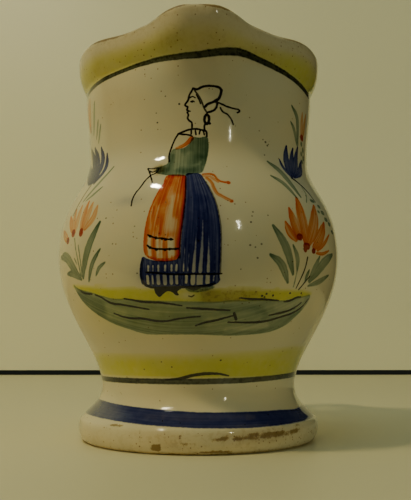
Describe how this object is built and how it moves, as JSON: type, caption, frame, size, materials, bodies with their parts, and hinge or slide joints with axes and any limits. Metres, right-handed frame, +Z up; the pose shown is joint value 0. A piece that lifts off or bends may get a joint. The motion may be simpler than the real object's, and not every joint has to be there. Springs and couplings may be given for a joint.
{
  "type": "jug",
  "caption": "One-piece glazed earthenware jug: round belly on a spreading foot, straight neck, turned-out collar with a pulled pouring lip, strap handle, and painted figure and flowers.",
  "frame": {"origin": "on the surface the jug stands on, under the middle of its bounding box; the pot's own axis is 14.9 mm in front of it (-Y), because of the handle", "axes": "+Z up, -Y towards the pouring lip, +Y towards the handle, +X to the right seen from the lip's side"},
  "size_m": [0.115, 0.1448, 0.1577],
  "materials": {
    "tin_glaze": "glossy cream tin glaze over fired clay, painted by brush in blue, green, yellow, orange and black, worn to brown clay at the lip and the foot"
  },
  "bodies": {
    "root": {"jug": "tin_glaze"}
  },
  "joints": []
}
